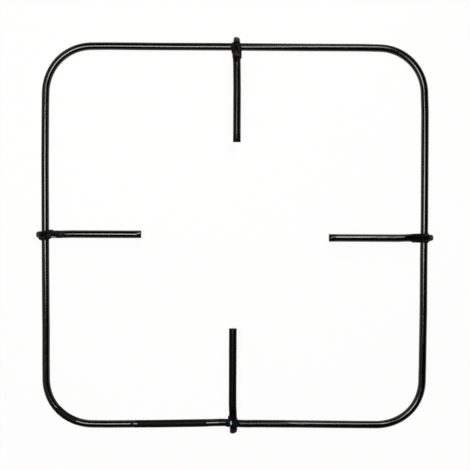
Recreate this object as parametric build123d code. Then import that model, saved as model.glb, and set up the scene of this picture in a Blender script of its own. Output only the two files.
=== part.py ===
from build123d import *
import os
from math import asin, atan2, cos, degrees, hypot, sin

# Hob pan support: a square ring of round steel rod with rounded corners, and four cranked
# fingers of the same rod welded over the middle of its sides, all enamelled black.
# Millimetres, +Z up. The origin lies on the hob, under the middle of the ring, and +Y points
# to the back of the hob.

# Frame ring
frame_size = 240.5        # over the outer faces of two opposite sides
frame_wire = 4.8          # rod with its enamel
corner_radius = 28.8      # of the rod's centreline

# Fingers
finger_wire = 4.8         # rod with its enamel
pan_height = 15.5         # top of the fingers above the hob
burner_gap = 113.8        # between the tips of two opposite fingers
crank_run = 11.35         # from the ring's centreline in to the corner of the bend
bend_radius = 14.0        # of the rod's centreline
side_offset = 0.8         # each finger sits this far clockwise of the middle of its side

# Outer ends of the fingers
end_overhang = 3.0        # past the outer face of the ring
crop_length = 2.6         # stretch that the cropping tool pinched
crop_depth = 0.3          # how much it took off the radius

# Welds
weld_sink = 0.5           # how far a finger is set down into the ring
collar_reach = 4.0        # from the crossing to the toe of the fillet
collar_neck = 1.5         # radius of the fillet's cone inside each rod
collar_height = 3.2       # of that cone
inner_bead_size = 2.4     # across the bead inside the ring
inner_bead_length = 6.6   # along the finger
inner_bead_proud = 0.7    # past the side of the finger
outer_bead_size = 2.6     # across the bead outside the ring
outer_bead_length = 3.4   # along the finger
outer_bead_proud = 1.3    # past the side of the finger

# Places that follow from the sizes
frame_axis = (frame_size - frame_wire) / 2
frame_level = frame_wire / 2
arm_level = pan_height - finger_wire / 2
tip_reach = burner_gap / 2
bend_reach = frame_axis - crank_run

# The finger's slope brings its centreline past the ring's at the distance of the two rods
# lying on each other, less the weld's set-down.
rods_apart = (frame_wire + finger_wire) / 2 - weld_sink
rise = arm_level - frame_level
slope = atan2(rise, crank_run) - asin(rods_apart / hypot(rise, crank_run))

frame_centre = Vector(frame_axis, -side_offset, frame_level)
outward = Vector(cos(slope), 0, -sin(slope))
lifted = Vector(sin(slope), 0, cos(slope))
crossing = frame_centre + lifted * rods_apart

# From the crossing to the finger's end, whose upper edge reaches the overhang
end_radius = finger_wire / 2 - crop_depth
end_reach = frame_size / 2 + end_overhang - crossing.X
end_length = (end_reach - end_radius * sin(slope)) / cos(slope)

sides = {"right": 0, "rear": 90, "left": 180, "front": 270}
from_base = (Align.CENTER, Align.CENTER, Align.MIN)


def make_frame():
    path = RectangleRounded(2 * frame_axis, 2 * frame_axis, corner_radius).wire()
    path = path.moved(Location((0, 0, frame_level)))
    section = Plane(origin=path @ 0, z_dir=path % 0) * Circle(frame_wire / 2)
    return sweep(section, path=path)


def make_finger(frame):
    crop_start = crossing + outward * (end_length - crop_length)
    tip = Vector(tip_reach, -side_offset, arm_level)
    bend = Vector(bend_reach, -side_offset, arm_level)
    path = FilletPolyline(tip, bend, crop_start, radius=bend_radius)
    section = Plane(origin=path @ 0, z_dir=path % 0) * Circle(finger_wire / 2)
    rod = sweep(section, path=path)

    # The cropped end narrows.
    crop_plane = Plane(origin=crop_start, x_dir=(0, 1, 0), z_dir=outward)
    rod += crop_plane * Cone(finger_wire / 2, end_radius, crop_length, align=from_base)
    return rod - frame


def make_weld(frame, finger):
    # Local X runs out along the finger, Y along the ring and Z from the ring to the finger.
    middle = frame_centre + lifted * (frame_wire - weld_sink) / 2
    seat = Plane(origin=middle, x_dir=outward, z_dir=lifted)

    # A fillet runs all round the crossing.
    cone = Cone(collar_reach, collar_neck, collar_height, align=from_base)
    weld = cone + Rot(180, 0, 0) * cone

    # A bead lies along the finger inside the ring, on the clockwise side, and a shorter one
    # outside it on the other.
    inner_side = (finger_wire - inner_bead_size) / 2 + inner_bead_proud
    inner_rise = inner_bead_size / 2 - weld_sink
    bead = Cylinder(inner_bead_size / 2, inner_bead_length, align=from_base)
    weld += Pos(0, -inner_side, inner_rise) * Rot(0, -90, 0) * bead
    outer_side = (finger_wire - outer_bead_size) / 2 + outer_bead_proud
    outer_drop = outer_bead_size / 2 - weld_sink
    bead = Cylinder(outer_bead_size / 2, outer_bead_length, align=from_base)
    weld += Pos(0, outer_side, -outer_drop) * Rot(0, 90, 0) * bead
    return seat * weld - frame - finger


frame = make_frame()
finger = make_finger(frame)
weld = make_weld(frame, finger)

parts = {"frame_ring": frame}
for side, turn in sides.items():
    parts[f"finger_{side}"] = Rot(0, 0, turn) * finger
    parts[f"weld_{side}"] = Rot(0, 0, turn) * weld

os.makedirs("parts", exist_ok=True)
for node, shape in parts.items():
    export_step(shape, f"parts/{node}.step")

print(f"finger slope {degrees(slope):.1f} degrees")
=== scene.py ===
import bpy
import numpy as np
from math import asin, atan2, cos, hypot, pi, radians, sin, tan
from mathutils import Euler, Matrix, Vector, noise


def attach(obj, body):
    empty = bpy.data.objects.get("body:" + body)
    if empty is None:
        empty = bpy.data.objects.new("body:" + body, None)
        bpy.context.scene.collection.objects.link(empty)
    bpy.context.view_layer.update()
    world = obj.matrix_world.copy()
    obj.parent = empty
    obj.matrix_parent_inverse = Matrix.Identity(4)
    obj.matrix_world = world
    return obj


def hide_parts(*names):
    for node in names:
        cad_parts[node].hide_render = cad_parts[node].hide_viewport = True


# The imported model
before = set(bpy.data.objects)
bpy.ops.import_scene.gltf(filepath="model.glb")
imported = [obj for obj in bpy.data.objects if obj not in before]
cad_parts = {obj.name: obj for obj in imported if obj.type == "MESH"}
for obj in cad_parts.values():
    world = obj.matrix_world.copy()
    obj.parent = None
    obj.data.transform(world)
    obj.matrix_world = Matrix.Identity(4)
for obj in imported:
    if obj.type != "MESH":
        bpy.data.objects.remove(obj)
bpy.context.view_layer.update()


# Frame ring: one length of 4.5 mm mild steel rod, bent cold into a square with rounded corners
# and laid flat on the hob. Its ends are butted under the front finger, where the weld drew the
# side in a little, and the enamel over it is a shade thicker in some places than in others.
mm = 0.001
ring_axis = 117.85         # from the middle of the ring to the rod's centreline
ring_corner = 28.8         # radius of a corner, on the centreline
rod_radius = 2.4           # rod with its enamel
coat_waves = 0.05          # how far the enamel's thickness varies
coat_wave_length = 17.0
coat_ripples = 0.012
coat_ripple_length = 5.0
round_the_rod = 40         # points round the rod
sharp_edge = radians(50)   # only edges steeper than this stay sharp

# Between two rings of points along the rod. It is finer where two finishes meet.
ring_step = {"right": 1.1, "rear": 1.1, "left": 0.4, "front": 0.4}

# How far each side, and the corner after it, stands outside its true line, as bending and welding
# left it: places along the rod, counter-clockwise from the side's middle, and the distance there
side_bow = {
    "right": ((-89, -82, -45, -6, 6, 45, 80, 88, 134),
              (-0.12, 0.03, 0.27, 0.15, 0.38, 0.22, 0.03, -0.42, -0.40)),
    "rear": ((-89, -80, -45, -6, 6, 45, 80, 90, 112, 126, 134),
             (-0.40, -0.17, -0.21, -0.15, -0.07, -0.13, -0.03, -0.20, -0.12, -0.18, -0.05)),
    "left": ((-89, -80, -45, -6, 6, 45, 60, 80, 90, 105, 113, 125, 134),
             (-0.05, 0.18, 0.42, 0.30, 0.27, 0.08, -0.06, 0.0, -0.12, 0.18, 0.06, -0.16, -0.12)),
    "front": ((-89, -80, -45, -20, -5, 5, 10, 29, 59, 80, 92, 113, 119, 134),
              (-0.12, -0.02, -0.36, -0.83, -1.34, -0.30, -0.51, -0.46, -0.24, -0.08, -0.09, 0.36,
               0.30, -0.12)),
}
bow_blend = 9.9            # length over which the line turns from one place to the next

# A spill has burnt on to the corner after the left side and to the front side left of its finger:
# places along the rod, and how thick it lies
burnt = {
    "left": ((108, 111, 123, 126), (0.0, 1.0, 1.0, 0.0)),
    "front": ((-89, -66, -54, -22, -15, 89), (0.0, 0.1, 1.0, 1.0, 0.0, 0.0)),
}

# The weld's heat dulled the enamel round the front joint: places along the rod, and how much
heated = {"front": ((-14, -8, 27, 40), (0.0, 1.0, 1.0, 0.0))}
nowhere = ((0,), (0.0,))
finish_shows = 0.5         # thickness or heat from which the finish changes
finish_patch = 3.0         # size of the patches where it changes
finish_ragged = 0.5        # how much they shift that edge


def coat_dip(point):
    """How far the enamel lies below its full thickness at a point, in millimetres."""
    wave = noise.noise(Vector(point) / coat_wave_length)
    ripple = noise.noise(Vector(point) / coat_ripple_length)
    return coat_waves * (1 - wave) / 2 + coat_ripples * (1 - ripple) / 2


def rod_mesh(name, centres, sides, ups, radii, closed):
    """Skin a rod: a ring of points round each centre, joined to the next, with flat end caps."""
    turns = np.linspace(0, 2 * pi, round_the_rod, endpoint=False)[None, :, None]
    circle = np.cos(turns) * sides[:, None] + np.sin(turns) * ups[:, None]
    surface = centres[:, None] + circle * radii[:, None, None]
    dips = [coat_dip(point) for point in surface.reshape(-1, 3)]
    surface -= circle * np.array(dips).reshape(len(centres), round_the_rod, 1)

    rows = len(centres) if closed else len(centres) - 1
    first = np.arange(rows)[:, None] * round_the_rod
    after = (np.arange(rows)[:, None] + 1) % len(centres) * round_the_rod
    here = np.arange(round_the_rod)[None]
    there = (here + 1) % round_the_rod
    quads = np.stack([first + here, after + here, after + there, first + there], axis=-1)
    faces = quads.reshape(-1, 4).tolist()
    if not closed:
        last = (len(centres) - 1) * round_the_rod
        faces.append(list(range(round_the_rod)))
        faces.append([last + n for n in reversed(range(round_the_rod))])
    mesh = bpy.data.meshes.new(name)
    mesh.from_pydata((surface.reshape(-1, 3) * mm).tolist(), [], faces)
    mesh.shade_smooth()
    mesh.set_sharp_from_angle(angle=sharp_edge)
    return mesh


def ring_line():
    """Centres, outward directions, spill and heat along the ring, counter-clockwise from its right side."""
    straight = ring_axis - ring_corner
    centres = []
    outs = []
    spills = []
    heats = []
    for quarter, side in enumerate(["right", "rear", "left", "front"]):
        turn = quarter * pi / 2
        step = ring_step[side]
        steps = round(2 * straight / step)
        bends = round(ring_corner * pi / 2 / step)
        along = np.linspace(-straight, straight, steps, endpoint=False)
        angles = np.linspace(0, pi / 2, bends, endpoint=False)
        places = np.append(along, straight + ring_corner * angles)
        bow = np.interp(places, *side_bow[side])
        reach = round(bow_blend / step / 2)
        window = np.full(2 * reach + 1, 1 / (2 * reach + 1))
        bow = np.convolve(np.pad(bow, reach, mode="edge"), window, mode="valid")

        # Each spot has its place and its outward direction, and is then turned to its own quarter.
        spots = [(ring_axis + bowed, place, 1, 0) for place, bowed in zip(along, bow)]
        for angle, bowed in zip(angles, bow[steps:]):
            bend = ring_corner + bowed
            out_x, out_y = cos(angle), sin(angle)
            spots.append((straight + bend * out_x, straight + bend * out_y, out_x, out_y))
        for x, y, out_x, out_y in spots:
            centres.append((x * cos(turn) - y * sin(turn), x * sin(turn) + y * cos(turn), rod_radius))
            outs.append((out_x * cos(turn) - out_y * sin(turn), out_x * sin(turn) + out_y * cos(turn), 0))
        spills.extend(np.interp(places, *burnt.get(side, nowhere)))
        heats.extend(np.interp(places, *heated.get(side, nowhere)))
    return np.array(centres), np.array(outs), np.array(spills), np.array(heats)


def linear(code):
    """An sRGB hex colour as linear RGBA."""
    parts = [int(code[n:n + 2], 16) / 255 for n in (1, 3, 5)]
    return (*[p / 12.92 if p <= 0.04045 else ((p + 0.055) / 1.055) ** 2.4 for p in parts], 1.0)


def add(tree, kind, links=None, values=None, **settings):
    """A node with its settings, its links (input: output socket) and its plain input values."""
    node = tree.nodes.new(kind)
    for key, value in settings.items():
        setattr(node, key, value)
    for key, value in (values or {}).items():
        node.inputs[key].default_value = value
    for key, socket in (links or {}).items():
        tree.links.new(socket, node.inputs[key])
    return node


# Black vitreous enamel: glass frit, dipped and fired on steel. It gives the eye a deep black
# with a clear, hard gloss, and the slow orange-peel ripple of glass that has flowed.
enamel_black = linear("#040404")
enamel_brown_black = linear("#090807")
enamel_ior = 1.45
peel_length = 3.4 * mm
peel_depth = 0.014 * mm
flow_length = 14.0 * mm
flow_low = 0.3             # the roughness follows the flow's noise from here
flow_high = 0.7            # to here


def enamel(name, smoothest, dullest, peel, shine=0.5):
    """Enamel by its roughness where it is smoothest and dullest, its share of the peel's depth and its
    specular level. Returns the material, its tree, its shader and the place on the object."""
    material = bpy.data.materials.new(name)
    material.use_nodes = True
    tree = material.node_tree
    tree.nodes.clear()
    place = add(tree, "ShaderNodeTexCoord").outputs["Object"]
    flow = add(tree, "ShaderNodeTexNoise", {"Vector": place},
               {"Scale": 1 / flow_length, "Detail": 4.0, "Roughness": 0.75})
    ripple = add(tree, "ShaderNodeTexNoise", {"Vector": place},
                 {"Scale": 1 / peel_length, "Detail": 2.0})
    bump = add(tree, "ShaderNodeBump", {"Height": ripple.outputs["Fac"]},
               {"Strength": 1.0, "Distance": peel * peel_depth})
    gloss = add(tree, "ShaderNodeMapRange", {"Value": flow.outputs["Fac"]},
                {"From Min": flow_low, "From Max": flow_high, "To Min": smoothest, "To Max": dullest})
    colour = add(tree, "ShaderNodeMix", {"Factor": flow.outputs["Fac"]},
                 {"A": enamel_black, "B": enamel_brown_black}, data_type="RGBA")
    shader = add(tree, "ShaderNodeBsdfPrincipled",
                 {"Base Color": colour.outputs["Result"], "Roughness": gloss.outputs["Result"],
                  "Normal": bump.outputs["Normal"]},
                 {"IOR": enamel_ior, "Specular IOR Level": shine})
    add(tree, "ShaderNodeOutputMaterial", {"Surface": shader.outputs["BSDF"]})
    return material, tree, shader, place


ring_enamel = enamel("black_vitreous_enamel_fired", smoothest=0.07, dullest=0.24, peel=0.75)[0]

# Carbonised spill: a thin film burnt on to the enamel. It gives the eye a black with hardly any shine.
burnt_spill = enamel("carbonised_spill_on_enamel", smoothest=0.45, dullest=0.60, peel=2.0, shine=0.1)[0]

# Heat-dulled enamel: fired a second time by the weld. It gives the eye a soft, half-bright highlight.
heated_enamel = enamel("black_vitreous_enamel_heat_dulled", smoothest=0.16, dullest=0.26, peel=0.45,
                       shine=0.22)[0]

ring_centres, outs, spills, heats = ring_line()
upward = np.tile((0.0, 0.0, 1.0), (len(ring_centres), 1))
ring_radii = np.full(len(ring_centres), rod_radius)
ring_mesh = rod_mesh("frame_ring", ring_centres, outs, upward, ring_radii, closed=True)
ring_finishes = [ring_enamel, burnt_spill, heated_enamel]
for finish in ring_finishes:
    ring_mesh.materials.append(finish)
for face in ring_mesh.polygons:
    row = face.index // round_the_rod
    patchy = finish_ragged * noise.noise(face.center / (mm * finish_patch))
    if spills[row] + patchy > finish_shows:
        face.material_index = ring_finishes.index(burnt_spill)
    elif heats[row] + patchy > finish_shows:
        face.material_index = ring_finishes.index(heated_enamel)
ring = bpy.data.objects.new("enamelled_frame_ring", ring_mesh)
bpy.context.scene.collection.objects.link(ring)
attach(ring, "root")
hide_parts("frame_ring")


# Fingers: four lengths of the same rod, each sheared straight at its inner tip, cranked once in
# a press and cropped where it passes over the ring. The level arm carries the pan. They were set
# by eye before welding, so no two sit quite alike.
arm_level = 13.1           # centreline of the level arm above the hob
bend_reach = 106.5         # from the middle of the ring to the corner of the bend
bend_radius = 14.0
rods_apart = 4.3           # centrelines of the two rods where the finger is welded down
crop_length = 4.0          # stretch that the cropping tool pinched
end_round = 0.3            # enamel rounds the cropped end this much
tip_edge = 0.16            # and the sheared edge this much
burr_length = 0.9          # the shear spread the tip a little sideways
burr_width = 0.16
finger_step = 0.4          # between two rings of points along a finger
tip_rows = (0.0, 0.05, tip_edge, 0.4, burr_length)    # closer rings at the tip
end_rows = 9               # and round the edge of the cropped end
end_turn = 0.46 * pi       # how far round it they go
side_turn = {"right": 0, "rear": pi / 2, "left": pi, "front": 3 * pi / 2}

# From the middle of the ring to each tip and to the upper edge of each cropped end, and how far each
# finger sits clockwise of the middle of its side
tip_reach = {"right": 57.5, "rear": 58.1, "left": 57.5, "front": 56.2}
end_reach = {"right": 123.25, "rear": 123.25, "left": 123.25, "front": 122.6}
finger_offset = {"right": 0.2, "rear": 0.8, "left": 1.5, "front": 1.15}

# Each cropped end's radius, and how far it is off square, longer on its counter-clockwise side
crop_radius = {"right": 1.95, "rear": 1.97, "left": 2.0, "front": 2.3}
crop_skew = {"right": 0.0, "rear": 0.17, "left": 0.0, "front": -0.25}

# The shear rolled each tip's upper edge over: how far along the finger, and how deep
roll_length = {"right": 1.7, "rear": 3.8, "left": 3.8, "front": 3.8}
roll_depth = {"right": 0.5, "rear": 0.6, "left": 0.6, "front": 0.6}

# How far each finger leans counter-clockwise of its arm's line: distances from its outer end, and
# the lean there
finger_lean = {
    "right": ((0, 6, 13, 18, 24), (0.05, 0.08, 0.21, 0.19, 0.0)),
    "rear": ((0, 14, 17, 33), (0.26, 0.35, 0.22, 0.0)),
    "left": ((0, 12, 24), (0.64, 0.33, 0.0)),
    "front": ((0, 3, 15, 20), (0.70, 0.68, 0.22, 0.0)),
}

# The slope lays the finger on the ring, set down into it by the weld.
run = ring_axis - bend_reach
rise = arm_level - rod_radius
slope = atan2(rise, run) - asin(rods_apart / hypot(rise, run))
crossing = np.array([ring_axis + rods_apart * sin(slope), rod_radius + rods_apart * cos(slope)])
end_length = {side: (reach - crossing[0] - crop_radius[side] * sin(slope)) / cos(slope)
              for side, reach in end_reach.items()}
bend_tangent = bend_radius * tan(slope / 2)


def crop_pinch(side, to_end):
    """How far the cropping tool pinched a finger's radius, at a distance from its outer end."""
    share = np.clip(1 - to_end / crop_length, 0, 1)
    return (rod_radius - crop_radius[side]) * np.sin(share * pi / 2)


def finger_line(side):
    """A finger's rows of points, and the lengths of its arm and of the whole finger. A row has its distance
    from the tip, place (out, up), direction, radius and sideways spread."""
    tip = tip_reach[side]
    arm = bend_reach - bend_tangent - tip
    arc = bend_radius * slope
    corner = np.array([bend_reach, arm_level])
    downhill = np.array([cos(slope), -sin(slope)])
    slide = float(np.dot(crossing - corner, downhill)) + end_length[side] - bend_tangent
    whole = arm + arc + slide
    along = np.concatenate([
        tip_rows,
        np.arange(burr_length + finger_step, whole - end_round - finger_step / 2, finger_step),
        whole - end_round * (1 - np.sin(np.linspace(0, end_turn, end_rows))),
    ])
    rows = []
    for from_tip in along:
        angle = min(max((from_tip - arm) / bend_radius, 0.0), slope)
        if from_tip < arm:
            place = np.array([tip + from_tip, arm_level])
        elif from_tip < arm + arc:
            place = corner + (-bend_tangent + bend_radius * sin(angle), bend_radius * (cos(angle) - 1))
        else:
            place = corner + downhill * (bend_tangent + from_tip - arm - arc)
        roll = roll_depth[side] / 2 * max(1 - from_tip / roll_length[side], 0.0) ** 2
        burr = burr_width * max(1 - from_tip / burr_length, 0.0) ** 2
        spread = (rod_radius + burr) / (rod_radius - roll)
        edge = max(tip_edge - from_tip, 0.0)
        inset = max(from_tip - whole + end_round, 0.0)
        radius = rod_radius - crop_pinch(side, whole - from_tip) - roll
        radius -= tip_edge - (tip_edge ** 2 - edge ** 2) ** 0.5
        radius -= end_round - (end_round ** 2 - inset ** 2) ** 0.5
        rows.append((from_tip, place - (0, roll), (cos(angle), -sin(angle)), radius, spread))
    return rows, arm, whole


# Enamel on a finger's arm, fired as on the ring. It gives the eye a highlight that is clearer on one
# arm than on another, and a grey line where the coat is thin over the sheared edge of the tip.
worn_grey = linear("#2e2c2a")
worn_full = 0.05           # the grey is strongest this far from the tip
worn_edge = 0.55           # and ends here
worn_share = 0.8


def arm_enamel(name, smoothest, dullest, peel, shine):
    """Enamel that greys at the tip."""
    material, tree, shader, place = enamel(name, smoothest, dullest, peel, shine)
    along = add(tree, "ShaderNodeAttribute", attribute_name="along_mm")
    edge = add(tree, "ShaderNodeMapRange", {"Value": along.outputs["Fac"]},
               {"From Min": worn_full, "From Max": worn_edge, "To Min": worn_share, "To Max": 0.0})
    black = shader.inputs["Base Color"].links[0].from_socket
    colour = add(tree, "ShaderNodeMix", {"Factor": edge.outputs["Result"], "A": black},
                 {"B": worn_grey}, data_type="RGBA")
    tree.links.new(colour.outputs["Result"], shader.inputs["Base Color"])
    return material


# Enamel over the weld's heat: on the slope, the cropped end and the weld it fired thin and dull. It gives
# the eye a flat black with hardly a highlight, brown-grey patches of scale that also stand for a painted
# sheen, and a grey end that is a painted reflection.
# Scale and painted sheen: brown-grey patches of scale, laid heaviest where the slopes catch the light, so
# that they also stand for a painted sheen
scale_and_sheen_grey = linear("#413d37")
mottle_length = 1.9 * mm
mottle_low = 0.48          # a patch of scale and painted sheen starts at this value of its noise
mottle_high = 0.68         # and is full at this one
# Painted reflection: each cropped end is greyed in its colour to stand for the horizon and floor that its
# rounded top reflects, more on some sides than others
end_reflection_grey = linear("#504d46")
end_reflection_fade = 4.2             # how far the painted reflection reaches from the cropped end
end_reflection_share = {"right": 0.85, "rear": 1.0, "left": 0.75, "front": 0.3}

# How much scale and painted sheen lies at each crossing and on each slope; the rear and left slopes, which
# catch the light, get the most. The places are distances from the outer end: the crossing, the start and
# end of the slope, and the arm, where there is none.
scale_and_sheen_places = (8, 11, 14, 18)
scale_and_sheen_share = {"right": (0.2, 0.0), "rear": (0.4, 0.7), "left": (0.1, 1.0), "front": (0.05, 0.0)}

dull_enamel, tree, shader, place = enamel("black_vitreous_enamel_fired_dull", smoothest=0.36, dullest=0.50,
                                          peel=2.5, shine=0.03)
patches = add(tree, "ShaderNodeTexNoise", {"Vector": place},
              {"Scale": 1 / mottle_length, "Detail": 3.0})
mottle = add(tree, "ShaderNodeMapRange", {"Value": patches.outputs["Fac"]},
             {"From Min": mottle_low, "From Max": mottle_high, "To Min": 0.0, "To Max": 1.0})
scale_and_sheen_here = add(tree, "ShaderNodeAttribute", attribute_name="scale_and_sheen_share")
scale_and_sheen_patches = add(tree, "ShaderNodeMath", {0: mottle.outputs["Result"], 1: scale_and_sheen_here.outputs["Fac"]},
             operation="MULTIPLY")
end_reflection_here = add(tree, "ShaderNodeAttribute", attribute_name="end_reflection_share")
colour = shader.inputs["Base Color"].links[0].from_socket
# Mix in the patches of scale and painted sheen
colour = add(tree, "ShaderNodeMix", {"Factor": scale_and_sheen_patches.outputs["Value"], "A": colour},
             {"B": scale_and_sheen_grey}, data_type="RGBA").outputs["Result"]
# then the painted reflection grey at the cropped end
colour = add(tree, "ShaderNodeMix", {"Factor": end_reflection_here.outputs["Fac"], "A": colour},
             {"B": end_reflection_grey}, data_type="RGBA").outputs["Result"]

# Two painted highlights: pale blue-white spots painted into the colour where light glints, each with a
# blue-black ring round it: its place, how far the pale spot and the ring reach each way, and how strong it
# is.
painted_glint_pale = linear("#d4dae6")
glint_grain = 0.9 * mm
glint_edge = (1.2, 1.6)    # the pale spot ends between these, as its reach and its grain add up
glint_ring_blue = linear("#0b1826")
glint_ring_edge = (1.2, 3.0)   # the ring fades between these shares of its reach
glint_ring_share = 0.9
# Where the painted highlights lie: on the front finger over its weld, and on the left finger's slope
painted_glints = [((-2.05, -115.2, 11.1), (0.56, 1.8, 1.4), (1.3, 1.2, 2.4), 1.0),
         ((-110.7, -0.6, 12.2), (2.5, 0.75, 1.6), (2.5, 0.75, 1.6), 0.55)]
glint_grain_noise = add(tree, "ShaderNodeTexNoise", {"Vector": place}, {"Scale": 1 / glint_grain, "Detail": 2.0})
for spot, glint_reach, glint_ring_reach, glint_strength in painted_glints:
    from_spot = add(tree, "ShaderNodeVectorMath", {0: place}, {1: Vector(spot) * mm},
                    operation="SUBTRACT")
    away = []
    for reach in (glint_reach, glint_ring_reach):
        share = add(tree, "ShaderNodeVectorMath", {0: from_spot.outputs["Vector"]},
                    {1: Vector(reach) * mm}, operation="DIVIDE")
        share = add(tree, "ShaderNodeVectorMath", {0: share.outputs["Vector"]}, operation="LENGTH")
        away.append(share.outputs["Value"])
    from_glint, from_glint_ring = away
    halo = add(tree, "ShaderNodeMapRange", {"Value": from_glint_ring},
               {"From Min": glint_ring_edge[0], "From Max": glint_ring_edge[1],
                "To Min": glint_ring_share * glint_strength, "To Max": 0.0})
    ragged = add(tree, "ShaderNodeMath", {0: glint_grain_noise.outputs["Fac"], 1: from_glint}, operation="ADD")
    inside = add(tree, "ShaderNodeMapRange", {"Value": ragged.outputs["Value"]},
                 {"From Min": glint_edge[0], "From Max": glint_edge[1], "To Min": glint_strength, "To Max": 0.0})
    # The painted highlight and its ring are mixed into the base colour.
    colour = add(tree, "ShaderNodeMix", {"Factor": halo.outputs["Result"], "A": colour},
                 {"B": glint_ring_blue}, data_type="RGBA").outputs["Result"]
    colour = add(tree, "ShaderNodeMix", {"Factor": inside.outputs["Result"], "A": colour},
                 {"B": painted_glint_pale}, data_type="RGBA").outputs["Result"]
tree.links.new(colour, shader.inputs["Base Color"])


def scale_and_sheen_at(side, to_end):
    """How much scale and painted sheen a finger or its weld has, at a distance from the finger's outer end.
    """
    crossing_share, slope_share = scale_and_sheen_share[side]
    return np.interp(to_end, scale_and_sheen_places, (crossing_share, slope_share, slope_share, 0))


# Each arm's roughness where it is smoothest and dullest, its share of the peel's depth, and its shine
arm_gloss = {"right": (0.06, 0.24, 3.0), "rear": (0.16, 0.26, 1.5),
             "left": (0.11, 0.19, 0.6), "front": (0.32, 0.44, 0.8)}
arm_shine = {"right": 0.80, "rear": 0.25, "left": 0.55, "front": 0.10}
dull_from = 3.0            # the dull enamel starts this far past the start of the bend
dull_patch = 2.5           # size of the patches where it starts
dull_ragged = 2.0          # how far they shift that edge

# The flame took shine off two of the tips: how far from the tip, and the shine that is left
flame_reach = {"right": 4.0, "rear": 4.2}
flame_shine = {"right": 0.22, "rear": 0.10}

for side, turn in side_turn.items():
    rows, arm, whole = finger_line(side)
    along, spots, ways, radii, spreads = [np.array(column) for column in zip(*rows)]
    out = np.array([cos(turn), sin(turn), 0.0])
    across = np.array([-sin(turn), cos(turn), 0.0])
    up = np.array([0.0, 0.0, 1.0])
    to_end = whole - along
    lean = np.interp(to_end, *finger_lean[side])
    cut = crop_skew[side] * np.clip(1 - to_end / crop_length, 0, 1)
    places = spots[:, :1] * out + spots[:, 1:] * up
    places += across * (lean - finger_offset[side])[:, None]
    ups = ways[:, :1] * up - ways[:, 1:] * out
    axes = ways[:, :1] * out + ways[:, 1:] * up
    acrosses = -across * spreads[:, None] - axes * cut[:, None]
    mesh = rod_mesh("finger_" + side, places, acrosses, ups, radii, closed=False)

    lengths = mesh.attributes.new("along_mm", "FLOAT", "POINT")
    lengths.data.foreach_set("value", np.repeat(along, round_the_rod))
    # The cropped end's painted reflection grey, as an attribute for the dull enamel
    end_reflections = mesh.attributes.new("end_reflection_share", "FLOAT", "POINT")
    grey = end_reflection_share[side] * np.clip(1 - to_end / end_reflection_fade, 0, 1)
    end_reflections.data.foreach_set("value", np.repeat(grey, round_the_rod))
    # The scale and painted sheen, as an attribute for the dull enamel
    scale_and_sheen_values = mesh.attributes.new("scale_and_sheen_share", "FLOAT", "POINT")
    scale_and_sheen_values.data.foreach_set("value", np.repeat(scale_and_sheen_at(side, to_end), round_the_rod))

    arm_finish = arm_enamel("black_vitreous_enamel_arm_" + side, *arm_gloss[side], arm_shine[side])
    finishes = [arm_finish, dull_enamel]
    if side in flame_reach:
        tip_finish = arm_enamel("black_vitreous_enamel_tip_" + side, *arm_gloss[side], flame_shine[side])
        finishes.append(tip_finish)
    for finish in finishes:
        mesh.materials.append(finish)
    for face in mesh.polygons:
        patchy = noise.noise(face.center / (mm * dull_patch))
        from_tip = along[min(face.vertices) // round_the_rod]
        if from_tip - arm - dull_from + dull_ragged * patchy > 0:
            face.material_index = finishes.index(dull_enamel)
        elif side in flame_reach and from_tip + patchy < flame_reach[side]:
            face.material_index = finishes.index(tip_finish)
    finger = bpy.data.objects.new("enamelled_finger_" + side, mesh)
    bpy.context.scene.collection.objects.link(finger)
    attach(finger, "root")
    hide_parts("finger_" + side)


# Welds: arc welds that fix each finger down on the ring before enamelling. A fillet fills the
# crossing all round, with a bead along the finger inside the ring and a shorter one outside, and
# the enamel has run smooth over all of it.
fillet_blend = 1.0         # how wide the fillet is drawn between the two rods
bead_blend = 1.0           # and between a bead and the rods
weld_hidden = 0.5          # how deep the weld reaches into a rod
weld_edge = 0.03           # thinnest weld metal at the fillet's toe
weld_edge_slope = 6.0      # how steeply it ends there
weld_lumps = 0.06
weld_lump_length = 3.0
weld_lump_rise = 0.4       # the lumps die out where the metal is thinner than this
slope_start = -30.0        # the slope of a finger is taken from well inside the ring

# A weld is skinned on a fine grid in its own frame: X out along the finger, Y along the ring, Z from
# the ring to the finger.
skin_step = 0.2
just_outside = skin_step / 10
weld_low = np.array([-13.5, -6.5, -5.0])
weld_high = np.array([5.5, 6.5, 6.0])

# Beads in that frame, each with its two ends and its radius
weld_beads = {
    "right": [((-11.2, -1.95, 1.1), (-2.9, -2.05, 0.6), 1.05),
              ((-11.0, 1.45, 0.9), (-3.0, 1.80, 0.2), 0.95),
              ((1.2, -2.2, -0.7), (2.2, -1.9, -0.3), 0.75),
              ((1.5, 2.2, -0.9), (2.0, 2.1, -0.8), 0.55)],
    "rear": [((-10.4, -2.05, 1.1), (-2.9, -2.10, 0.6), 1.05),
             ((-9.8, 1.65, 1.0), (-7.0, 1.85, 0.7), 0.90),
             ((-5.6, 2.40, 0.2), (-2.1, 2.45, 0.0), 0.90),
             ((2.0, 2.35, -1.1), (2.2, 2.35, -1.1), 0.40)],
    "left": [((-7.6, -2.0, 1.1), (-3.2, -1.7, 0.4), 1.00),
             ((-5.3, 2.0, 0.3), (-2.2, 2.6, -0.4), 0.80),
             ((0.9, 2.5, -1.2), (2.8, 2.2, -0.6), 1.25)],
    "front": [((-8.0, -2.2, 0.8), (-2.9, -2.7, 0.0), 0.90),
              ((-6.5, 1.6, 1.0), (-2.6, 2.1, 0.1), 0.90),
              ((-1.9, -3.4, -0.5), (0.1, -3.3, -0.5), 0.95),
              ((-1.3, 2.6, -0.4), (0.3, 2.5, -0.5), 0.85)],
}

# Where the ring lies under each finger, outside its true line
ring_drift = {side: float(np.interp(0, *bow)) for side, bow in side_bow.items()}


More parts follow.
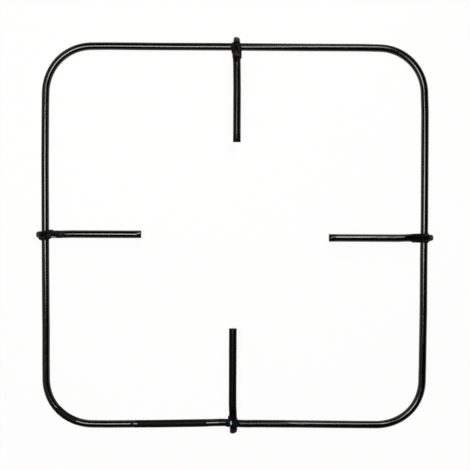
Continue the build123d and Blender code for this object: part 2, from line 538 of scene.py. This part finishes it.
def melt(a, b, width):
    """The lesser of two distances, rounded where they are within a width of each other."""
    share = np.maximum(width - np.abs(a - b), 0) / width
    return np.minimum(a, b) - share * share * width / 4


def from_line(points, start, stop, radius):
    """Distance to a round-ended rod."""
    start, stop = np.array(start), np.array(stop)
    span = stop - start
    share = np.clip((points - start) @ span / (span @ span), 0, 1)
    return np.linalg.norm(points - start - share[..., None] * span, axis=-1) - radius


def weld_distance(points, side, seed):
    """Distance to the weld metal: what melting the rods and beads together adds to the rods."""
    half = rods_apart / 2
    drift = ring_drift[side]
    ring_place = np.array([drift * cos(slope), 0, drift * sin(slope) - half])
    ring_rod = np.hypot(points[..., 0] - ring_place[0], points[..., 2] - ring_place[2]) - rod_radius

    # The beads follow the finger's lean.
    to_end = end_length[side] - points[..., 0]
    points = points.copy()
    points[..., 1] -= np.interp(to_end, *finger_lean[side])
    finger_start = (slope_start, 0, half)
    finger_stop = (end_length[side] - crop_radius[side], 0, half)
    finger_rod = from_line(points, finger_start, finger_stop, rod_radius) + crop_pinch(side, to_end)
    rods = np.minimum(ring_rod, finger_rod)
    metal = melt(ring_rod, finger_rod, fillet_blend)
    shift = np.array([ring_place[0], 0, 0])
    for start, stop, radius in weld_beads[side]:
        metal = melt(metal, from_line(points, start + shift, stop + shift, radius), bead_blend)
    waves = np.sin(points * (2 * pi / weld_lump_length) + seed)
    metal += weld_lumps * np.prod(waves, axis=-1) * np.clip((rods - metal) / weld_lump_rise, 0, 1)
    toe = weld_edge_slope * (weld_edge - rods + metal)
    return np.maximum.reduce([metal, -weld_hidden - rods, toe])


def untie(value):
    """Open the grid's squares whose corners lie in and out by turns, where a skin would pinch, and its
    lone points."""
    tied = True
    while tied:
        tied = False
        for axis in range(3):
            square = np.moveaxis(value, axis, 2)
            a, b, c, d = square[:-1, :-1], square[1:, :-1], square[1:, 1:], square[:-1, 1:]
            first = (a < 0) & (c < 0) & (b >= 0) & (d >= 0)
            second = (b < 0) & (d < 0) & (a >= 0) & (c >= 0)
            a[first] = just_outside
            b[second] = just_outside
            tied = tied or first.any() or second.any()
    inside = value < 0
    company = sum(np.roll(inside, step, axis) for axis in range(3) for step in (-1, 1))
    value[inside & (company == 0)] = just_outside


def skin(distance):
    """Points and four-sided faces on the surface where a distance is nought, from a fine grid."""
    counts = np.ceil((weld_high - weld_low) / skin_step).astype(int) + 1
    grid = np.stack(np.meshgrid(*[np.arange(n) for n in counts], indexing="ij"), axis=-1)
    value = distance(weld_low + grid * skin_step)
    untie(value)

    # Each cell that the surface passes through has a point, at the mean of where it cuts the cell's edges.
    cells = counts - 1
    total = np.zeros((*cells, 3))
    found = np.zeros(cells)
    for axis in range(3):
        for corner in range(4):
            start = np.insert([corner % 2, corner // 2], axis, 0)
            stop = start.copy()
            stop[axis] = 1
            a = value[tuple(slice(s, s + n) for s, n in zip(start, cells))]
            b = value[tuple(slice(s, s + n) for s, n in zip(stop, cells))]
            crosses = (a < 0) != (b < 0)
            share = np.where(crosses, a / np.where(crosses, a - b, 1), 0)
            total += np.where(crosses[..., None], start + share[..., None] * (stop - start), 0)
            found += crosses
    mixed = found > 0
    number = np.full(cells, -1)
    number[mixed] = np.arange(mixed.sum())
    points = weld_low + skin_step * (np.argwhere(mixed) + total[mixed] / found[mixed][:, None])

    # Each edge of the grid that the surface cuts has a face, through the four cells round it.
    faces = []
    for axis in range(3):
        one, two = [n for n in range(3) if n != axis]
        ends = np.moveaxis(value, axis, 0)
        changes = np.moveaxis((ends[:-1] < 0) != (ends[1:] < 0), 0, axis)
        entering = np.moveaxis(ends[:-1] < 0, 0, axis)
        for spot in np.argwhere(changes):
            around = []
            for back_one, back_two in ((1, 1), (0, 1), (0, 0), (1, 0)):
                cell = spot.copy()
                cell[one] -= back_one
                cell[two] -= back_two
                around.append(int(number[tuple(cell)]))
            if entering[tuple(spot)] == (axis == 1):
                around.reverse()
            faces.append(around)
    return points, faces


for seed, (side, turn) in enumerate(side_turn.items()):
    points, faces = skin(lambda spots: weld_distance(spots, side, seed))
    out = np.array([cos(turn) * cos(slope), sin(turn) * cos(slope), -sin(slope)])
    across = np.array([-sin(turn), cos(turn), 0.0])
    up = np.cross(out, across)
    flat_out = np.array([cos(turn), sin(turn), 0.0])
    middle = flat_out * ring_axis - across * finger_offset[side] + np.array([0, 0, rod_radius])
    middle = middle + up * rods_apart / 2
    places = middle + points @ np.stack([out, across, up])
    mesh = bpy.data.meshes.new("weld_" + side)
    mesh.from_pydata((places * mm).tolist(), [], faces)
    mesh.shade_smooth()
    # Scale and painted sheen on the weld, as on its finger
    scale_and_sheen_values = mesh.attributes.new("scale_and_sheen_share", "FLOAT", "POINT")
    scale_and_sheen_values.data.foreach_set("value", scale_and_sheen_at(side, end_length[side] - points[:, 0]))
    mesh.materials.append(dull_enamel)
    weld = bpy.data.objects.new("enamelled_weld_" + side, mesh)
    bpy.context.scene.collection.objects.link(weld)
    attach(weld, "root")
    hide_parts("weld_" + side)


# Floor: a plain white paper table under the support. To the camera and in reflections it shows its
# own white, and it keeps a faint shadow.
floor_size = 40.0
floor_white = linear("#ffffff")
floor_paper = linear("#f2f2f0")
floor_glow = 0.92          # share of its own white that it shows

floor_mesh = bpy.data.meshes.new("floor")
edge = floor_size / 2
floor_mesh.from_pydata([(-edge, -edge, 0), (edge, -edge, 0), (edge, edge, 0), (-edge, edge, 0)],
                       [], [(0, 1, 2, 3)])
floor_material = bpy.data.materials.new("white_paper_table")
floor_material.use_nodes = True
tree = floor_material.node_tree
tree.nodes.clear()
rays = add(tree, "ShaderNodeLightPath").outputs
shown = add(tree, "ShaderNodeMath", {0: rays["Is Camera Ray"], 1: rays["Is Glossy Ray"]},
            operation="MAXIMUM")
shown = add(tree, "ShaderNodeMath", {0: shown.outputs["Value"], 1: rays["Is Transmission Ray"]},
            operation="MAXIMUM")
share = add(tree, "ShaderNodeMath", {0: shown.outputs["Value"]}, {1: floor_glow}, operation="MULTIPLY")
paper = add(tree, "ShaderNodeBsdfDiffuse", values={"Color": floor_paper})
glow = add(tree, "ShaderNodeEmission", values={"Color": floor_white, "Strength": 1.0})
blend = add(tree, "ShaderNodeMixShader", {0: share.outputs["Value"], 1: paper.outputs["BSDF"],
                                          2: glow.outputs["Emission"]})
add(tree, "ShaderNodeOutputMaterial", {"Surface": blend.outputs["Shader"]})
floor_mesh.materials.append(floor_material)
floor = bpy.data.objects.new("floor", floor_mesh)
bpy.context.scene.collection.objects.link(floor)


# Light: a soft box on the left of the camera and another behind it on the right, both close over
# the support, wide dim panels on the left, and a dark room with a pale horizon.
lamp_white = linear("#fffffb")[:3]
horizon_pale = linear("#f0f0f0")
horizon_top = 0.02         # the horizon is pale up to this height, as the sine of its angle
room_dark = linear("#101010")
room_from = 0.14           # and the room is dark from this one


def panel(name, place, width, height, strength):
    """A soft box that faces the middle of the support. Strength is its radiance."""
    lamp = bpy.data.lights.new(name, "AREA")
    lamp.shape = "RECTANGLE"
    lamp.size = width
    lamp.size_y = height
    lamp.energy = strength * pi * width * height
    lamp.color = lamp_white
    thing = bpy.data.objects.new(name, lamp)
    thing.location = place
    thing.rotation_euler = Vector(place).to_track_quat("Z", "Y").to_euler()
    bpy.context.scene.collection.objects.link(thing)


panel("left_soft_box", (-0.085, 0.037, 0.66), width=0.21, height=0.28, strength=15.5)
panel("rear_soft_box", (0.135, 0.38, 0.66), width=0.17, height=0.36, strength=12.0)
panel("side_panel", (-1.2, 0.9, 1.1), width=1.4, height=1.4, strength=0.5)
panel("front_panel", (-0.68, -0.22, 0.75), width=0.50, height=0.65, strength=0.6)

world = bpy.data.worlds.new("dim_room")
bpy.context.scene.world = world
world.use_nodes = True
tree = world.node_tree
tree.nodes.clear()
place = add(tree, "ShaderNodeTexCoord")
height = add(tree, "ShaderNodeSeparateXYZ", {"Vector": place.outputs["Generated"]})
fade = add(tree, "ShaderNodeValToRGB", {"Fac": height.outputs["Z"]})
low, high = fade.color_ramp.elements
low.position = horizon_top
low.color = horizon_pale
high.position = room_from
high.color = room_dark
room = add(tree, "ShaderNodeBackground", {"Color": fade.outputs["Color"]}, {"Strength": 1.0})
add(tree, "ShaderNodeOutputWorld", {"Surface": room.outputs["Background"]})


# Camera: almost straight above the support, a little to its back, as far off as the slight
# spread of the picture's perspective says.
camera_place = Vector((-4.33, 18.9, 602.8)) * mm
camera_turn = [radians(a) for a in (-1.708, -0.405, 0.248)]
camera_data = bpy.data.cameras.new("camera")
camera_data.sensor_width = 36.0
camera_data.lens = 73.76
camera_data.clip_start = 0.01
camera = bpy.data.objects.new("camera", camera_data)
camera.location = camera_place
camera.rotation_euler = Euler(camera_turn, "XYZ")
bpy.context.scene.collection.objects.link(camera)
bpy.context.scene.camera = camera
bpy.context.scene.view_settings.view_transform = "Standard"
